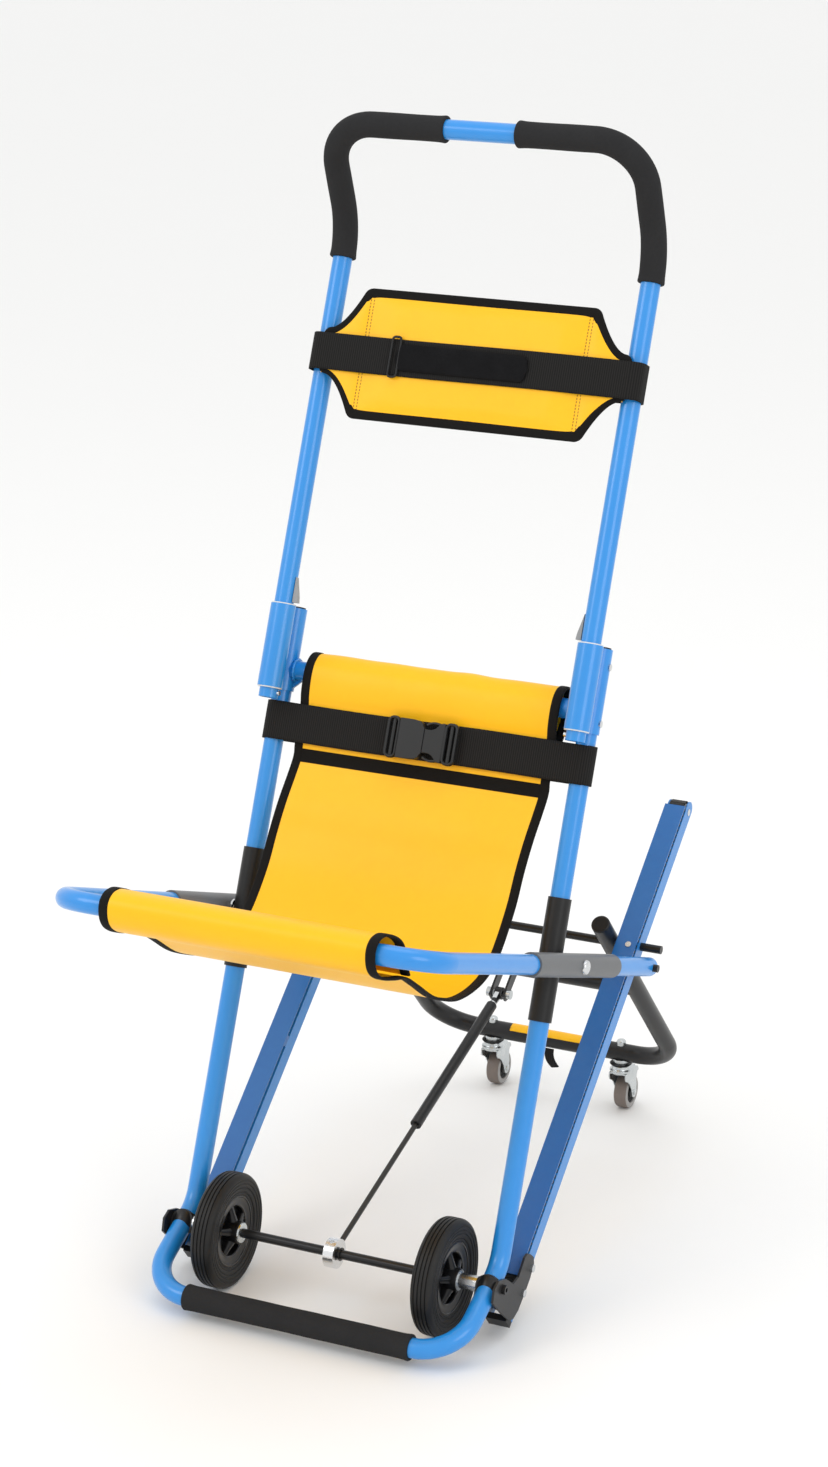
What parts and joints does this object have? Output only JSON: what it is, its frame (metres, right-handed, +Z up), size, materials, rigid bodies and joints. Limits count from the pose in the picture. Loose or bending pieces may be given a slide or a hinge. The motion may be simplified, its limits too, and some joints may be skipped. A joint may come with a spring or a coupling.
{
  "type": "folding evacuation stair chair",
  "caption": "Self-standing folding evacuation chair: tube frame, hammock seat, sliding handle, belt rails for stairs and a fold-out caster carriage with gas strut.",
  "frame": {"origin": "on the floor under the middle of the chair's bounding box, halfway across its width", "axes": "+Z up; -Y the way the sitter faces; +X to the sitter's left"},
  "size_m": [0.5356, 1.0274, 1.4431],
  "materials": {
    "frame_blue": "glossy blue powder coat",
    "rail_blue": "blue powder coat",
    "foam": "matte closed-cell foam",
    "yellow_cloth": "PVC-coated woven cloth, semi-gloss",
    "webbing": "woven nylon webbing",
    "black_plastic": "moulded nylon",
    "white_plastic": "natural nylon",
    "grey_plastic": "moulded grey",
    "sleeve_grey": "grey shrink sleeve, satin",
    "caster_grey": "grey thermoplastic rubber",
    "belt_rubber": "ribbed rubber",
    "tyre": "matte black",
    "zinc": "zinc plate",
    "gloss_black": "glossy black nylon",
    "black_steel": "black oxide",
    "bright_steel": "turned and polished",
    "alu": "turned",
    "bracket_grey": "dark grey paint"
  },
  "bodies": {
    "rail_frame": {"rail_left": "rail_blue", "rail_right": "rail_blue", "rail_covers": "frame_blue", "cover_screws": "bright_steel", "track_belts": "belt_rubber", "pulley_pins": "bright_steel", "rail_feet": "black_plastic", "rail_brackets": "bracket_grey", "bracket_bolts": "black_steel", "axle": "black_steel", "axle_screws": "black_steel", "wheel_spacers": "alu", "carriage_rod": "black_steel", "rod_spacers": "white_plastic"},
    "upper_pulleys": {"upper_pulleys": "white_plastic"},
    "lower_pulleys": {"lower_pulleys": "white_plastic"},
    "main_frame": {"main_frame_tube": "frame_blue", "foot_bar_foam": "foam", "tube_saddles": "bracket_grey", "back_yoke": "frame_blue", "guide_bushes": "white_plastic", "socket_caps": "black_plastic", "guide_rivets": "bright_steel", "wear_sleeves": "black_plastic", "waist_belt": "webbing", "buckle_socket": "grey_plastic", "buckle_plug": "grey_plastic", "hammock_back": "yellow_cloth"},
    "buckle_tab_upper": {"buckle_tab_upper": "grey_plastic"},
    "buckle_tab_lower": {"buckle_tab_lower": "grey_plastic"},
    "catch_left": {"catch_left": "grey_plastic"},
    "catch_right": {"catch_right": "grey_plastic"},
    "seat_frame": {"seat_frame_tube": "frame_blue", "seat_sleeves": "sleeve_grey", "seat_bolts": "bright_steel", "tail_pins": "black_steel", "hammock_seat": "yellow_cloth"},
    "handle": {"handle_tube": "frame_blue", "grip_left": "foam", "grip_right": "foam", "stop_pins": "bright_steel", "head_pad": "yellow_cloth", "head_strap": "webbing"},
    "front_wheel_left": {"tyre_left": "tyre", "rim_left": "gloss_black", "bearings_left": "zinc"},
    "front_wheel_right": {"tyre_right": "tyre", "rim_right": "gloss_black", "bearings_right": "zinc"},
    "carriage": {"carriage_frame": "black_steel", "leg_caps": "black_plastic", "strut_clevis": "black_steel", "clevis_bolt": "zinc", "caster_nuts": "zinc"},
    "caster_fork_left": {"caster_fork_left": "zinc"},
    "caster_fork_right": {"caster_fork_right": "zinc"},
    "caster_wheel_left": {"caster_wheel_left": "caster_grey"},
    "caster_wheel_right": {"caster_wheel_right": "caster_grey"},
    "strut_rod": {"strut_rod": "bright_steel"},
    "strut_cylinder": {"strut_cylinder": "black_steel"}
  },
  "joints": [
    {"name": "main_fold", "type": "hinge", "parent": "rail_frame", "child": "main_frame", "pos_m": [0, -0.24416, 0.075], "axis": [-1, 0, 0], "range_deg": [0, 27.64]},
    {"name": "seat_fold", "type": "hinge", "parent": "main_frame", "child": "seat_frame", "pos_m": [0, -0.06769, 0.44345], "axis": [-1, 0, 0], "range_deg": [0, 80], "deforming": ["hammock_seat"]},
    {"name": "handle_slide", "type": "slide", "parent": "main_frame", "child": "handle", "axis": [0, 0.3853, 0.9228], "range_m": [-0.25, 0]},
    {"name": "catch_left_press", "type": "hinge", "parent": "main_frame", "child": "catch_left", "pos_m": [-0.2019, 0.05177, 0.82693], "axis": [0, 0.9228, -0.3853], "range_deg": [0, 14], "stiffness_Nm_per_rad": 0.6, "springref_deg": -5.73},
    {"name": "catch_right_press", "type": "hinge", "parent": "main_frame", "child": "catch_right", "pos_m": [0.2019, 0.05177, 0.82693], "axis": [0, -0.9228, 0.3853], "range_deg": [0, 14], "stiffness_Nm_per_rad": 0.6, "springref_deg": -5.73},
    {"name": "buckle_tab_upper_press", "type": "slide", "parent": "main_frame", "child": "buckle_tab_upper", "axis": [0, -0.3853, -0.9228], "range_m": [0, 0.003], "stiffness_N_per_m": 800, "springref_m": -0.001},
    {"name": "buckle_tab_lower_press", "type": "slide", "parent": "main_frame", "child": "buckle_tab_lower", "axis": [0, 0.3853, 0.9228], "range_m": [0, 0.003], "stiffness_N_per_m": 800, "springref_m": -0.001},
    {"name": "front_wheel_left_spin", "type": "hinge", "parent": "rail_frame", "child": "front_wheel_left", "pos_m": [-0.1538, -0.24416, 0.075], "axis": [1, 0, 0], "continuous": true},
    {"name": "front_wheel_right_spin", "type": "hinge", "parent": "rail_frame", "child": "front_wheel_right", "pos_m": [0.1538, -0.24416, 0.075], "axis": [1, 0, 0], "continuous": true},
    {"name": "carriage_fold", "type": "hinge", "parent": "rail_frame", "child": "carriage", "pos_m": [0, 0.20681, 0.36778], "axis": [-1, 0, 0], "range_deg": [0, 93.8]},
    {"name": "strut_swing", "type": "hinge", "parent": "rail_frame", "child": "strut_rod", "pos_m": [0, -0.24416, 0.075], "axis": [1, 0, 0], "range_deg": [0, 19.2]},
    {"name": "strut_stroke", "type": "slide", "parent": "strut_rod", "child": "strut_cylinder", "axis": [0, 0.9505, 0.3107], "range_m": [-0.1294, 0]},
    {"name": "caster_left_swivel", "type": "hinge", "parent": "carriage", "child": "caster_fork_left", "pos_m": [-0.1, 0.4677, 0.07], "axis": [0, 0, 1], "continuous": true},
    {"name": "caster_right_swivel", "type": "hinge", "parent": "carriage", "child": "caster_fork_right", "pos_m": [0.1, 0.4677, 0.07], "axis": [0, 0, 1], "continuous": true},
    {"name": "caster_left_spin", "type": "hinge", "parent": "caster_fork_left", "child": "caster_wheel_left", "pos_m": [-0.1, 0.4887, 0.025], "axis": [1, 0, 0], "continuous": true},
    {"name": "caster_right_spin", "type": "hinge", "parent": "caster_fork_right", "child": "caster_wheel_right", "pos_m": [0.1, 0.4887, 0.025], "axis": [1, 0, 0], "continuous": true},
    {"name": "upper_pulley_spin", "type": "hinge", "parent": "rail_frame", "child": "upper_pulleys", "pos_m": [0, 0.37069, 0.50384], "axis": [1, 0, 0], "continuous": true},
    {"name": "lower_pulley_spin", "type": "hinge", "parent": "rail_frame", "child": "lower_pulleys", "pos_m": [0, -0.19482, 0.03435], "axis": [1, 0, 0], "continuous": true}
  ],
  "couplings": [
    {"joint": "seat_fold", "follows": "main_fold", "ratio": 2.8907},
    {"joint": "strut_swing", "follows": "carriage_fold", "ratio": 0.20362},
    {"joint": "strut_stroke", "follows": "carriage_fold", "m_per_rad": -0.07892},
    {"joint": "lower_pulley_spin", "follows": "upper_pulley_spin", "ratio": 1}
  ]
}
